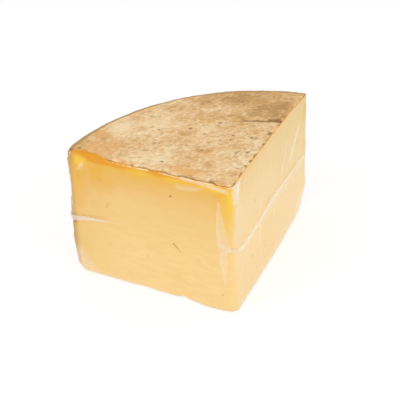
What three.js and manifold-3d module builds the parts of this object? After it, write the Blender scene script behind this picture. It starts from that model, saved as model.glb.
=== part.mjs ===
// A quarter of a bandage-aged cheddar wheel, sealed in tight clear film, as one solid.
// Millimetres, +Z up. The point of the wedge faces -Y and the rind arc faces +Y.
// The origin is under the middle of the wedge, on the surface that it stands on.
import * as THREE from "three";
import { mergeVertices } from "three/addons/utils/BufferGeometryUtils.js";
import Module from "manifold-3d";

// Driving dimensions of the whole wheel.
const WHEEL_RADIUS = 160; // at the top of the side
const WHEEL_HEIGHT = 125.6; // at the middle of the wheel, where the top is highest
const TOP_DROP = 0.8; // how far the domed top falls from the middle to its rim
const FOOT_SPREAD = 5.9; // how much farther out the sunken foot of the side stands
const SIDE_BULGE = 0.3; // how far the side swells at half height
const TOP_RIM_ROUND = 3.2; // round of the rim between top and side
const FOOT_RIM_ROUND = 10; // round of the rim between side and underside

// Driving dimensions of the cut.
const WEDGE_ANGLE = 90; // degrees between the two cut faces
const POINT_SHIFT_X = -9.9; // the wire crossed a little off the wheel's middle
const POINT_SHIFT_Y = 10.2;
const POINT_ROUND = 4.3; // round of the standing edge at the point of the wedge
const LEFT_FACE_HOLLOW = -0.3; // the left face swells by this much at half its length
const RIGHT_FACE_HOLLOW = 1.7; // the right face is hollow by this much at half its length
const CUT_OVERRUN = 30; // how far the cutting prism reaches past the wheel

// Fineness of the facets.
const TURN_SEGMENTS = 176;
const ROUND_SEGMENTS = 6;
const DOME_RINGS = 8;
const SIDE_STEPS = 12;
const CUT_CURVE_SEGMENTS = 10;

const COLOURS = { wedge: 0xf2cd86 };

// Height of the domed top at a distance from the wheel's axis.
function topHeight(radius) {
  return WHEEL_HEIGHT - TOP_DROP * (radius / WHEEL_RADIUS) ** 2;
}

// Radius of the side, without its rounds, at a share of its height from 0 to 1.
function sideRadius(share) {
  return WHEEL_RADIUS + FOOT_SPREAD * (1 - share) + SIDE_BULGE * Math.sin(Math.PI * share);
}

// Points of a quarter round about a centre, from one angle to another, in degrees.
function roundPoints(centreX, centreY, radius, from, to) {
  const points = [];
  for (let i = 0; i <= ROUND_SEGMENTS; i += 1) {
    const angle = THREE.MathUtils.degToRad(from + ((to - from) * i) / ROUND_SEGMENTS);
    points.push(new THREE.Vector2(centreX + radius * Math.cos(angle), centreY + radius * Math.sin(angle)));
  }
  return points;
}

// Half section of the wheel: from the axis, along the underside, up the side and over the dome.
function wheelProfile() {
  const footCentre = sideRadius(0) - FOOT_RIM_ROUND;
  const rimCentre = sideRadius(1) - TOP_RIM_ROUND;
  const rimTop = topHeight(rimCentre);
  const sideFrom = FOOT_RIM_ROUND;
  const sideTo = rimTop - TOP_RIM_ROUND;

  const profile = [new THREE.Vector2(0, 0)];
  profile.push(...roundPoints(footCentre, FOOT_RIM_ROUND, FOOT_RIM_ROUND, -90, 0));
  for (let i = 1; i < SIDE_STEPS; i += 1) {
    const share = i / SIDE_STEPS;
    profile.push(new THREE.Vector2(sideRadius(share), sideFrom + (sideTo - sideFrom) * share));
  }
  profile.push(...roundPoints(rimCentre, sideTo, TOP_RIM_ROUND, 0, 90));
  for (let i = DOME_RINGS - 1; i >= 1; i -= 1) {
    const radius = (rimCentre * i) / DOME_RINGS;
    profile.push(new THREE.Vector2(radius, topHeight(radius)));
  }
  profile.push(new THREE.Vector2(0, WHEEL_HEIGHT));
  return profile;
}

// The whole wheel, turned about +Z.
function wheelGeometry() {
  return new THREE.LatheGeometry(wheelProfile(), TURN_SEGMENTS).rotateX(Math.PI / 2);
}

// Outline of the cut seen from above: a rounded point and two faces that run out past the rind.
function cutOutline() {
  const half = THREE.MathUtils.degToRad(WEDGE_ANGLE / 2);
  const point = new THREE.Vector2(POINT_SHIFT_X, POINT_SHIFT_Y);
  const reach = WHEEL_RADIUS + CUT_OVERRUN;
  const along = (side) => new THREE.Vector2(side * Math.sin(half), Math.cos(half));
  const inward = (side) => new THREE.Vector2(-side * Math.cos(half), Math.sin(half));
  const place = (side, distance, depth) =>
    point.clone().addScaledVector(along(side), distance).addScaledVector(inward(side), depth);

  const roundStart = POINT_ROUND / Math.tan(half);
  const leftStart = place(-1, roundStart, 0);
  const leftMiddle = place(-1, reach / 2, 2 * LEFT_FACE_HOLLOW);
  const leftEnd = place(-1, reach, 0);
  const rightStart = place(1, roundStart, 0);
  const rightMiddle = place(1, reach / 2, 2 * RIGHT_FACE_HOLLOW);
  const rightEnd = place(1, reach, 0);
  const far = point.clone().add(new THREE.Vector2(0, 2 * reach));

  const outline = new THREE.Shape();
  outline.moveTo(leftStart.x, leftStart.y);
  outline.quadraticCurveTo(point.x, point.y, rightStart.x, rightStart.y);
  outline.quadraticCurveTo(rightMiddle.x, rightMiddle.y, rightEnd.x, rightEnd.y);
  outline.lineTo(far.x, far.y);
  outline.lineTo(leftEnd.x, leftEnd.y);
  outline.quadraticCurveTo(leftMiddle.x, leftMiddle.y, leftStart.x, leftStart.y);
  return outline;
}

// The prism that keeps one quarter of the wheel.
function cutGeometry() {
  const depth = WHEEL_HEIGHT + 2 * CUT_OVERRUN;
  const settings = { depth, bevelEnabled: false, curveSegments: CUT_CURVE_SEGMENTS };
  return new THREE.ExtrudeGeometry(cutOutline(), settings).translate(0, 0, -CUT_OVERRUN);
}

// A closed geometry as a solid that can be joined and cut.
function toSolid(wasm, geometry) {
  const bare = geometry.clone();
  bare.deleteAttribute("normal");
  bare.deleteAttribute("uv");
  const merged = mergeVertices(bare, 1e-4);
  const vertProperties = new Float32Array(merged.attributes.position.array);
  const triVerts = new Uint32Array(merged.index.array);
  return new wasm.Manifold(new wasm.Mesh({ numProp: 3, vertProperties, triVerts }));
}

// A solid's surface as a geometry.
function toGeometry(solid) {
  const { vertProperties, triVerts } = solid.getMesh();
  const geometry = new THREE.BufferGeometry();
  geometry.setAttribute("position", new THREE.BufferAttribute(vertProperties, 3));
  geometry.setIndex(new THREE.BufferAttribute(triVerts, 1));
  geometry.computeVertexNormals();
  return geometry;
}

// Moves a geometry so that the middle of its underside is the origin.
function standOnOrigin(geometry) {
  geometry.computeBoundingBox();
  const { min, max } = geometry.boundingBox;
  return geometry.translate(-(min.x + max.x) / 2, -(min.y + max.y) / 2, -min.z);
}

const wasm = await Module();
wasm.setup();
const quarter = toSolid(wasm, wheelGeometry()).intersect(toSolid(wasm, cutGeometry()));

const wedge = new THREE.Mesh(
  standOnOrigin(toGeometry(quarter)),
  new THREE.MeshStandardMaterial({ color: COLOURS.wedge, roughness: 0.35, metalness: 0 }),
);
wedge.name = "wrapped_wedge";

const part = new THREE.Group();
part.add(wedge);

export default part;
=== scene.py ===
"""A wedge of cloth-aged cheddar in tight clear film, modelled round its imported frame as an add-on."""
import math
from types import SimpleNamespace

import bpy
import numpy as np
from bpy.props import FloatProperty, FloatVectorProperty, PointerProperty
from mathutils import Matrix, Vector


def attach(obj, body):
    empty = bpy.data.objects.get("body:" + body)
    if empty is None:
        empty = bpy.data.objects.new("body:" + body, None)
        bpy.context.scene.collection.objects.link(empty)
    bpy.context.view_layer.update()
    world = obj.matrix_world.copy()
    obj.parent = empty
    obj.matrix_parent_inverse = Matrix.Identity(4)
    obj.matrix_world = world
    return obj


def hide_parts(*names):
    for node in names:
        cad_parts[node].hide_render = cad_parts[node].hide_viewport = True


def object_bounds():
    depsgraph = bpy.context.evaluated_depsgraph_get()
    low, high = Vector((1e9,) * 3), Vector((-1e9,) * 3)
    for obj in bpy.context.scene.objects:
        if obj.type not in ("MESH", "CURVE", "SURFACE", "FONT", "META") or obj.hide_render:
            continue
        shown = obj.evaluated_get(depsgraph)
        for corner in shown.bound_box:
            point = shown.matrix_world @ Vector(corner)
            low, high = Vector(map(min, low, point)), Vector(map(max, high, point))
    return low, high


bl_info = {
    "name": "Cheddar Wedge",
    "version": (1, 0, 0),
    "blender": (4, 5, 0),
    "location": "3D View > Sidebar > Cheddar",
    "description": "Models a wedge of cloth-aged cheddar in tight clear film",
    "category": "Add Mesh",
}

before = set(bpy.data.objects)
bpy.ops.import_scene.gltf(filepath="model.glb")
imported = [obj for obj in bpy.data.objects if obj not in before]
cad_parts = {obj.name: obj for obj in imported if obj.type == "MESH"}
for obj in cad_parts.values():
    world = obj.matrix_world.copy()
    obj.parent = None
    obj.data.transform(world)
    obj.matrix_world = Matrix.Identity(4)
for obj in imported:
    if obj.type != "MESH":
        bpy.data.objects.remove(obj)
CAD_LOW, CAD_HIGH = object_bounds()

MM = 0.001
BODY = "root"
NODE = "wrapped_wedge"

# Both cut faces stand at 45 degrees to the frame's axes, and run back from the point of the wedge.
SLANT = math.sqrt(0.5)
ALONG_LEFT = Vector((-SLANT, SLANT))
ALONG_RIGHT = Vector((SLANT, SLANT))

# Fineness of the modelling: faces of the wheel and its rounds, steps of the weld, and least amounts.
WHEEL_SIDES = 192
ROUND_STEPS = 6
WELD_SIDE_STATIONS = 22
LEAST_WEIGHT = 0.002
TINY = 1e-5

# Finer skin round the marks of the paste and the creases of the film: its reach in their sizes, and its cuts.
MARK_FINENESS = (2.6, 3)
CREASE_FINENESS = (2.2, 2)

# How squarely a vertex faces a way counts from 0 at the first of these to 1 at the second.
FACING = (0.5, 0.9)
FACING_BACK = (0.6, 0.9)

# The curved side lies beyond this share of the farthest radius.
SIDE_SHARE = 0.6

# Paste counts as the left face's from 0 at the first of these depths behind that face to 1 at the second.
LEFT_FACE_DEPTH = (7 * MM, 1 * MM)

# A painted spot fades in from the first of these to the second, as shares of its half sizes.
SPOT_FADE = (1.4, 0.2)

# How far the ends of the wedge are drawn across, and its uneven foot is lifted.
CHEESE_DRAW = 2.2 * MM
FILM_DRAW = 2.6 * MM
RIGHT_FOOT_DRAW = 3.0 * MM
NOTCH_LIFT = 2.0 * MM

# Uneven relief of a skin, in millimetres: its strength, the size of its lumps and their depth of detail.
RIND_RELIEF = {"rind lumps": (0.8, 13, 2), "rind grain": (0.35, 4, 3)}
PASTE_RELIEF = {"paste waves": (0.6, 30, 2), "paste grain": (0.2, 5, 2)}
LIP_RELIEF = {"lip": (1.5, 7, 3)}
FILM_RELIEF = {"film waves": (0.4, 18, 2)}

# Pits in the paste, in millimetres: cut face, distance from the point, height, radius, depth and tint, the
# shade painted inside the pit.
PASTE_PITS = (
    (ALONG_LEFT, 52.9, 103.3, 1.2, 1.6, 1.0),
    (ALONG_LEFT, 10.5, 17.4, 1.0, 1.0, 0.7),
    (ALONG_LEFT, 147.0, 54.0, 2.4, 0.8, 0.85),
    (ALONG_LEFT, 79.0, 37.0, 2.4, 0.4, 0.13),
    (ALONG_LEFT, 114.0, 38.0, 1.8, 0.4, 0.13),
    (ALONG_LEFT, 125.0, 79.0, 1.9, 0.3, 0.16),
    (ALONG_LEFT, 116.5, 102.5, 2.6, 0.3, 0.16),
    (ALONG_LEFT, 81.0, 103.0, 2.6, 0.2, 0.1),
    (ALONG_LEFT, 66.0, 70.0, 2.0, 0.2, 0.09),
    (ALONG_LEFT, 31.0, 46.0, 2.2, 0.2, 0.1),
    (ALONG_RIGHT, 37.8, 33.4, 2.3, 1.0, 0.28),
    (ALONG_RIGHT, 48.5, 81.3, 2.2, 0.9, 0.24),
    (ALONG_RIGHT, 66.0, 24.0, 2.2, 0.7, 0.18),
    (ALONG_RIGHT, 141.0, 85.0, 3.0, 0.8, 0.2),
    (ALONG_RIGHT, 142.0, 21.0, 3.4, 0.5, 0.14),
)

# Slits in the paste: cut face, one end, the other end, half width, depth and tint, the shade painted inside
# the slit.
PASTE_SLITS = (
    (ALONG_LEFT, (53.2, 56.4), (50.0, 52.6), 1.1, 1.4, 0.4),
    (ALONG_LEFT, (50.0, 52.6), (47.5, 49.9), 0.9, 0.7, 0.2),
    (ALONG_LEFT, (111.2, 81.6), (113.0, 77.0), 1.5, 0.3, 0.2),
)

# Golden stretches of the left face: distance from the point, height, half length, half height and strength.
PASTE_GOLD = (
    (115.0, 123.0, 15.0, 5.0, 0.9),
    (94.0, 122.0, 16.0, 5.0, 0.6),
    (64.0, 122.0, 16.0, 4.0, 0.4),
    (132.0, 114.0, 10.0, 8.0, 0.25),
    (8.0, 104.0, 9.0, 26.0, 0.5),
    (134.0, 96.0, 11.0, 20.0, 0.8),
    (118.0, 98.0, 16.0, 16.0, 0.9),
    (118.0, 78.0, 14.0, 14.0, 0.85),
    (139.0, 78.0, 10.0, 14.0, 0.6),
    (54.0, 11.0, 8.0, 4.0, 0.9),
    (36.0, 8.0, 8.0, 3.5, 0.9),
    (140.0, 36.0, 9.0, 26.0, 0.6),
)

# Vivid yellow stretches of the left face, in the same way: at the near edge and along the top under the
# rind's lip this is painted light, the glow of light through the thin near edge and the film's highlight
# below the lip; at the left end it is a vivid yellow patch under the drawn-back rind.
PASTE_LIT_AND_YELLOW = (
    (134.0, 117.0, 7.0, 5.0, 1.0),
    (80.0, 119.0, 14.0, 3.5, 0.6),
    (46.0, 119.0, 16.0, 2.5, 0.5),
    (2.0, 108.0, 5.0, 17.0, 1.0),
    (6.0, 98.0, 8.0, 24.0, 0.55),
    (14.0, 119.0, 16.0, 3.5, 0.8),
)

# Spots of the rind's top: distance in from the right face and from the left face, half sizes and strength.
RIND_RUBBED = (
    (43.0, 7.6, 17.0, 5.6, 1.0),
    (120.0, 10.0, 26.0, 13.0, 0.7),
    (130.0, 31.0, 10.0, 9.0, 0.75),
    (90.0, 1.5, 12.0, 4.0, 0.8),
    (10.0, 1.0, 14.0, 2.8, 0.7),
    (0.6, 75.0, 2.8, 80.0, 0.6),
    (3.0, 134.0, 5.0, 18.0, 0.45),
    (110.0, 22.0, 12.0, 9.0, 0.6),
    (34.0, 34.0, 12.0, 7.0, 0.4),
    (30.0, 128.0, 26.0, 10.0, 0.45),
)
RIND_BLOOM = (
    (120.0, 45.0, 18.0, 12.0, 1.0),
    (98.0, 60.0, 14.0, 9.0, 0.5),
    (70.0, 14.0, 14.0, 6.0, 0.4),
)
RIND_BROWNED = (
    (10.3, 126.8, 9.0, 8.0, 0.9), (49.0, 125.0, 11.0, 7.0, 0.8), (58.8, 122.3, 5.0, 5.0, 0.8),
    (45.6, 132.0, 6.0, 6.0, 0.7), (27.9, 107.3, 6.0, 5.0, 0.8), (73.0, 113.5, 10.0, 6.0, 0.7),
    (97.0, 89.6, 9.0, 6.0, 0.6), (89.0, 94.0, 7.0, 6.0, 0.6), (30.0, 23.0, 5.5, 5.0, 0.8),
    (43.8, 38.3, 9.0, 4.0, 0.7), (60.6, 30.4, 7.0, 4.0, 0.6), (98.6, 31.3, 6.0, 5.0, 0.5),
    (47.4, 26.0, 6.0, 4.0, 0.5), (17.0, 118.0, 14.0, 5.0, 0.6), (8.0, 16.0, 4.0, 6.0, 0.5),
    (15.0, 86.0, 6.0, 10.0, 0.5), (104.0, 51.0, 6.0, 5.0, 0.5), (66.0, 56.0, 8.0, 5.0, 0.5),
    (129.0, 31.0, 9.0, 7.0, 1.0),
)
RIND_SPECKS = (
    (29.7, 69.3, 2.4, 1.9, 0.8), (28.8, 62.2, 1.6, 1.8, 0.8), (14.2, 70.6, 2.0, 1.7, 0.8),
    (3.2, 82.5, 2.2, 3.4, 0.9), (8.9, 49.4, 1.8, 2.0, 0.9), (16.9, 45.0, 2.2, 2.0, 0.8),
    (1.4, 47.2, 1.8, 3.4, 0.9), (2.6, 31.3, 1.8, 2.6, 0.8), (65.0, 12.7, 2.6, 1.4, 0.8),
    (66.8, 66.6, 2.4, 1.8, 0.7), (43.0, 39.0, 3.0, 1.4, 0.6), (136.2, 6.1, 2.4, 1.8, 0.9),
    (73.0, 56.9, 1.8, 1.6, 0.6), (57.0, 41.0, 2.0, 1.4, 0.6), (36.0, 58.0, 1.8, 1.6, 0.7),
    (22.0, 56.0, 1.6, 1.4, 0.7), (80.0, 36.0, 1.8, 1.5, 0.6), (19.0, 88.0, 1.9, 1.6, 0.6),
    (5.0, 104.6, 4.2, 3.2, 1.0), (11.0, 103.0, 4.0, 1.6, 0.8), (1.0, 16.0, 1.4, 3.0, 0.7),
    (3.0, 112.0, 1.8, 2.4, 0.6), (52.0, 64.0, 1.6, 1.4, 0.6), (88.0, 58.0, 1.7, 1.5, 0.5),
    (1.6, 65.0, 1.5, 2.6, 0.8), (1.8, 39.0, 1.5, 2.4, 0.8),
)

# The film's weld: stations along it, in millimetres from the point, with their height and share of its width.
WELD_ON_LEFT_POINT = ((12.5, 70.0, 0.2), (8.0, 68.4, 0.75), (4.5, 66.0, 0.8))
WELD_ON_RIGHT = (
    (4.5, 62.8, 0.8), (14.0, 58.6, 0.75), (24.0, 57.6, 1.0), (38.0, 58.4, 0.75), (53.0, 59.4, 0.75),
    (68.0, 61.4, 0.8), (82.0, 62.8, 1.05), (96.0, 63.0, 0.65), (110.0, 63.2, 0.55), (124.0, 63.8, 0.65),
    (140.0, 63.9, 0.5), (158.0, 62.8, 0.6),
)
WELD_ON_LEFT_END = (
    (148.0, 58.9, 1.0), (140.0, 60.2, 0.85), (126.0, 61.8, 0.6), (114.0, 63.2, 0.3), (105.0, 64.4, 0.02),
)

# Round the back the weld starts at a height, falls and wavers, in millimetres.
WELD_BACK_HEIGHT = 62.5
WELD_BACK_FALL = 3.0
WELD_BACK_WAVER = 1.2

# Where the weld is milkier on the right face, by distance from the point.
WELD_BRIGHT = (23.0, 80.0, 124.0)

# The film's ridge along the weld: its height, half its width and its rise; then the weld's lift off the film.
RIDGE_HEIGHT = 61 * MM
RIDGE_REACH = 8 * MM
RIDGE_RISE = 0.5 * MM
WELD_LIFT = 0.9 * MM
WELD_SIDE_LIFT = 0.7 * MM

# Creases of the film: cut face, stations of distance and height, half width in millimetres, and milkiness.
CREASES = (
    (ALONG_LEFT, ((11.4, 112.0), (13.0, 94.0), (13.8, 80.0), (13.2, 70.0), (12.2, 60.0)), 0.9, 0.4),
    (ALONG_LEFT, ((12.6, 64.0), (11.6, 54.0), (10.2, 44.0), (8.6, 34.0), (7.4, 24.0)), 0.9, 0.4),
    (ALONG_LEFT, ((11.4, 112.0), (9.8, 97.0), (7.4, 84.0), (4.6, 75.0), (2.4, 69.0)), 0.8, 0.25),
    (ALONG_LEFT, ((4.4, 62.0), (6.6, 50.0), (7.6, 38.0)), 0.8, 0.2),
    # Along the top front edge: a low ridge whose milkiness is a painted highlight, the film's glint there.
    (ALONG_LEFT, ((47.0, 122.6), (36.0, 121.6), (24.0, 120.8), (14.0, 120.4)), 1.2, 0.2),
    (ALONG_LEFT, ((131.0, 118.0), (134.0, 111.0), (139.0, 104.0)), 0.9, 0.3),
    (ALONG_RIGHT, ((143.0, 105.0), (131.0, 90.0), (120.0, 75.0)), 3.6, 0.42),
    (ALONG_RIGHT, ((114.0, 102.0), (106.0, 86.0), (99.0, 71.0)), 3.2, 0.2),
    (ALONG_RIGHT, ((122.0, 64.0), (108.0, 55.0), (95.0, 46.0)), 3.2, 0.22),
    (ALONG_RIGHT, ((90.0, 72.0), (84.0, 56.0), (80.0, 36.0)), 3.4, 0.14),
    (ALONG_RIGHT, ((58.0, 84.0), (52.0, 62.0), (49.0, 30.0)), 3.4, 0.12),
    (ALONG_RIGHT, ((10.0, 59.5), (24.0, 57.6), (53.0, 59.4), (82.0, 62.8), (100.0, 63.0)), 4.6, 0.34),
    (ALONG_RIGHT, ((88.0, 62.8), (124.0, 63.8), (158.0, 62.8)), 4.0, 0.16),
    (ALONG_RIGHT, ((10.0, 121.0), (6.6, 108.0), (5.8, 92.0)), 1.4, 0.25),
)

# A crease rises by a share of its half width, and fades over a length at its ends.
CREASE_RISE = 0.1
CREASE_FADE = 8 * MM

# Milky patches of the film, and patches of painted highlight on it: cut face, outline of distance and height,
# softness and strength.
MILK_AND_GLINT_PATCHES = (
    # Painted highlight: the film's broad glint patch below the top front edge.
    (ALONG_LEFT, ((47.0, 111.4), (47.0, 116.6), (24.0, 118.6), (29.0, 113.8)), 1.0, 0.2),
    (ALONG_LEFT, ((129.0, 117.0), (133.0, 117.0), (136.0, 110.0), (132.0, 110.0)), 1.5, 0.3),
    (ALONG_LEFT, ((158.0, 30.0), (143.0, 24.0), (128.0, 0.0), (160.0, 0.0)), 7.0, 0.26),
    (ALONG_LEFT, ((60.0, 1.0), (130.0, 1.0), (130.0, 4.0), (60.0, 2.0)), 4.0, 0.3),
    (ALONG_LEFT, ((150.0, 116.0), (146.0, 116.0), (146.0, 64.0), (152.0, 64.0)), 4.0, 0.2),
    # Painted highlight: the film's glint band just under the rind's lip toward the near corner.
    (ALONG_LEFT, ((42.0, 122.6), (42.0, 124.0), (4.0, 121.4), (3.0, 117.6)), 1.0, 0.4),
    (ALONG_LEFT, ((11.4, 111.0), (14.0, 72.0), (2.0, 68.0), (6.0, 83.0)), 1.0, 0.2),
    (ALONG_LEFT, ((13.4, 72.0), (7.6, 26.0), (6.0, 44.0), (3.0, 68.0)), 1.0, 0.18),
    (ALONG_LEFT, ((13.0, 72.6), (2.0, 68.0), (2.0, 64.4), (12.6, 67.0)), 1.2, 0.24),
    # At the top of the near edge the film lifts off the cheese; its whitish look there, and the band down the
    # near edge, are painted highlight.
    (ALONG_RIGHT, ((0.0, 125.0), (18.0, 123.0), (10.0, 110.0), (0.0, 104.0)), 2.0, 0.42),
    (ALONG_RIGHT, ((0.0, 112.0), (8.0, 112.0), (5.0, 70.0), (0.0, 70.0)), 2.5, 0.12),
    (ALONG_RIGHT, ((121.0, 74.0), (128.0, 76.0), (143.0, 100.0), (138.0, 102.0)), 3.0, 0.1),
    (ALONG_RIGHT, ((98.0, 72.0), (102.0, 72.0), (113.0, 99.0), (110.0, 100.0)), 3.0, 0.06),
)

# Soft lights of the stage: place and side in metres, and power in watts.
SOFTBOXES = {
    "key": ((0.35, -0.6, 0.5), 0.5, 1.3),
    "fill": ((-0.35, -0.75, 0.45), 0.6, 0.5),
    "glint": ((-0.95, -0.2, 1.05), 0.35, 2.5),
}

# The floor lies this far under the wedge.
FLOOR_DROP = 0.5 * MM


# Settings


def amount(name, description, value):
    """A setting that is a plain number."""
    return FloatProperty(name=name, description=description, default=value)


def length(name, description, metres):
    """A setting that is a length."""
    return FloatProperty(name=name, description=description, default=metres, unit="LENGTH")


def angle(name, description, degrees):
    """A setting that is an angle, given in degrees."""
    return FloatProperty(name=name, description=description, default=math.radians(degrees), unit="ROTATION")


def swatch(name, description, shade):
    """A setting that is a colour."""
    return FloatVectorProperty(name=name, description=description, default=shade, subtype="COLOR")


class CheddarSizes(bpy.types.PropertyGroup):
    """Sizes of the wheel, the cut and the film."""

    wheel_radius: length("Wheel Radius", "Radius of the wheel at the top of its side", 160 * MM)
    foot_spread: length("Foot Spread", "How much farther out the foot of the side stands", 5.9 * MM)
    wheel_height: length("Wheel Height", "Height of the wheel, film and all", CAD_HIGH.z - CAD_LOW.z)
    top_rim_round: length("Top Rim Round", "Round between the top and the side", 3.2 * MM)
    foot_rim_round: length("Foot Rim Round", "Round between the side and the underside", 10 * MM)
    axis_x: length("Axis Place", "Place of the wheel's axis across the frame", 5.53 * MM)
    point_shift: FloatVectorProperty(
        name="Point Shift", description="How far off the wheel's axis the cuts cross",
        size=2, default=(-9.9 * MM, 10.2 * MM), unit="LENGTH")
    point_round: length("Point Round", "Round of the standing edge at the point of the wedge", 4.3 * MM)
    right_hollow: length("Right Hollow", "How hollow the paste's right face is at half its length", 2.0 * MM)
    film_hollow: length("Film Hollow", "How far the film follows that hollow", 1.3 * MM)
    width_stretch: amount("Width Stretch", "How much the wedge is drawn out across, about its point", 1.016)
    film_gap: length("Film Gap", "Room between the cheese and the film", 0.5 * MM)
    skin_size: length("Skin Size", "Size of the small faces of the cheese's skin", 1.32 * MM)
    film_skin_size: length("Film Skin Size", "Size of the small faces of the film", 1.4 * MM)
    overlap_radius: length(
        "Overlap Radius", "Radius of the line where the cloth of the top overlaps", 104.5 * MM)
    rind_thickness: length("Rind Thickness", "Thickness of the rind where the cut shows it", 1.3 * MM)
    weld_width: length("Weld Width", "Greatest width of the film's weld", 6.0 * MM)
    weld_thickness: length("Weld Thickness", "Thickness of the film's weld", 0.25 * MM)


class CheddarColours(bpy.types.PropertyGroup):
    """Colours of the cheese and its film."""

    paste: swatch("Paste", "Pale paste far from the rind", (0.915, 0.64, 0.27))
    paste_warm: swatch("Warm Paste", "Paste three fingers' width under the rind", (0.84, 0.553, 0.19))
    paste_amber: swatch("Amber Paste", "Paste two fingers' width under the rind", (0.81, 0.48, 0.135))
    paste_gold: swatch("Golden Paste", "Paste a finger's width under the rind", (0.79, 0.43, 0.04))
    paste_orange: swatch("Orange Paste", "Paste straight under the rind", (0.78, 0.315, 0.0))
    # Painted light: paste lit up by light glowing through the near edge and by the film's highlight under the
    # rind's lip; also a vivid yellow patch at the left end.
    paste_lit_and_yellow: swatch(
        "Bright Paste", "Yellow paste at the near edge and under the drawn-back rind", (0.89, 0.545, 0.04))
    # Painted shade: darker paste laid over the right face, most toward its top and its far end.
    paste_right_shade: swatch(
        "Dull Paste", "Paste at the top and the far end of the right face", (0.71, 0.487, 0.12))
    # Painted shade inside the pits and slits of the paste.
    paste_pit_shade: swatch("Pits", "Inside of the pits and slits of the paste", (0.36, 0.18, 0.05))
    # The pale rind colour also paints the film's highlight just below the rind's edge on the left face.
    rind_pale_and_glint: swatch("Pale Rind", "Bloom on the rind", (0.96, 0.75, 0.45))
    rind: swatch("Rind", "Buff cloth rind", (0.89, 0.61, 0.315))
    rind_tan: swatch("Tan Rind", "Mottles of the rind", (0.75, 0.445, 0.165))
    # The brown rind colour also paints the contact shadow along the foot of the left face.
    rind_brown_and_shadow: swatch("Brown Rind", "Aged stretches of the rind", (0.49, 0.27, 0.075))
    rind_orange: swatch("Orange Rind", "Rubbed patches where the paste shows through", (0.85, 0.455, 0.15))
    rind_fleck: swatch("Rind Flecks", "Small flecks all over the rind", (0.43, 0.2, 0.035))
    rind_dark: swatch("Dark Rind", "Specks and cracks of the rind", (0.22, 0.09, 0.005))
    # The film's milk colour also paints its highlights along the top front edge and at the near corner.
    film_milk_and_glint: swatch("Film Milk", "Milky film at the weld and the creases", (0.92, 0.83, 0.75))
    film_edge: swatch(
        "Film Edge", "What passes through the film where it is seen at a slant", (0.78, 0.68, 0.58))


class CheddarStage(bpy.types.PropertyGroup):
    """Floor, light and camera."""

    floor_size: length("Floor Size", "Side of the floor", 12.0)
    floor_colour: swatch("Floor Colour", "Colour of the floor", (0.5, 0.5, 0.5))
    floor_glow: amount("Floor Glow", "Light that the floor gives by itself, as a lit table does", 0.58)
    sky_strength: amount("Sky Strength", "Brightness of the even light all round", 0.74)
    camera_place: FloatVectorProperty(
        name="Camera Place", description="Place of the camera",
        subtype="XYZ", default=(-171.84 * MM, -531.03 * MM, 454.65 * MM), unit="LENGTH")
    camera_yaw: angle("Camera Yaw", "Turn of the view from +X", 72.529)
    camera_dip: angle("Camera Dip", "How far the view looks down", 35.128)
    camera_roll: angle("Camera Roll", "Roll of the camera", -3.161)
    camera_lens: amount("Camera Lens", "Focal length in millimetres", 72.0)


# Places on the wedge


def wheel_axis(sizes):
    """The wheel's axis on the plan: the foot of the side touches the far face of the frame's box."""
    return Vector((sizes.axis_x, CAD_HIGH.y - sizes.wheel_radius - sizes.foot_spread))


def wedge_point(sizes):
    """The point of the wedge on the plan, where the cut faces meet."""
    return wheel_axis(sizes) + Vector(sizes.point_shift)


def face_out(along):
    """Outward direction of the cut face that runs along a direction of the plan."""
    return Vector((along.x, -along.y))


def drawn_out(sizes, x):
    """Where the wedge's stretch across puts a place."""
    point = wedge_point(sizes)
    return point.x + (x - point.x) * sizes.width_stretch


def face_place(sizes, along, distance, height, proud):
    """A place proud of a cut face, by its distance from the point of the wedge and its height."""
    plan = wedge_point(sizes) + along * distance + face_out(along) * proud
    return Vector((drawn_out(sizes, plan.x), plan.y, height))


def face_reach(sizes, along):
    """How far a cut face runs from the point of the wedge to the side."""
    shift = Vector(sizes.point_shift)
    inward = shift.dot(along)
    return math.sqrt(inward ** 2 - shift.length_squared + sizes.wheel_radius ** 2) - inward


def side_radius(sizes, height):
    """Radius of the wheel's side at a height."""
    return sizes.wheel_radius + sizes.foot_spread * (1 - height / sizes.wheel_height)


def side_place(sizes, turn, height, proud):
    """A place proud of the curved side, by its turn from +Y in radians and its height."""
    axis = wheel_axis(sizes)
    radius = side_radius(sizes, height) + proud
    x = axis.x + radius * math.sin(turn)
    return Vector((drawn_out(sizes, x), axis.y + radius * math.cos(turn), height))


def side_turn(sizes, along):
    """Turn from +Y at which a cut face meets the side."""
    corner = Vector(sizes.point_shift) + along * face_reach(sizes, along)
    return math.atan2(corner.x, corner.y)


def ease(value, low, high):
    """A smooth step from 0 at low to 1 at high."""
    share = np.clip((value - low) / (high - low), 0.0, 1.0)
    return share * share * (3 - 2 * share)


def hump(value, middle, half_width):
    """A smooth hump of height 1 about a middle."""
    share = np.clip(np.abs(value - middle) / half_width, 0.0, 1.0)
    return (1 - share * share) ** 2


def painted(across, up, rows):
    """The strongest of a table of soft oval spots, in millimetres, at each place."""
    paint = np.zeros(len(across))
    for middle_across, middle_up, half_across, half_up, strength in rows:
        gap = np.hypot((across / MM - middle_across) / half_across, (up / MM - middle_up) / half_up)
        paint = np.maximum(paint, strength * ease(gap, *SPOT_FADE))
    return paint


def line_gap(across, up, first, last):
    """Distance of each place on a face from the line between two places."""
    start = np.array(first) * MM
    run = np.array(last) * MM - start
    spots = np.stack([across, up], axis=1) - start
    share = np.clip(spots @ run / (run @ run), 0.0, 1.0)
    return np.linalg.norm(spots - share[:, None] * run, axis=1)


def patch_depth(across, up, outline):
    """How far inside a convex outline each place on a face lies; less than 0 is outside."""
    corners = np.array(outline) * MM
    middle = corners.mean(axis=0)
    depth = np.full(len(across), np.inf)
    for first, last in zip(corners, np.roll(corners, -1, axis=0)):
        run = (last - first) / np.linalg.norm(last - first)
        inward = np.array((-run[1], run[0]))
        if (middle - first) @ inward < 0:
            inward = -inward
        depth = np.minimum(depth, (across - first[0]) * inward[0] + (up - first[1]) * inward[1])
    return depth


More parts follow.
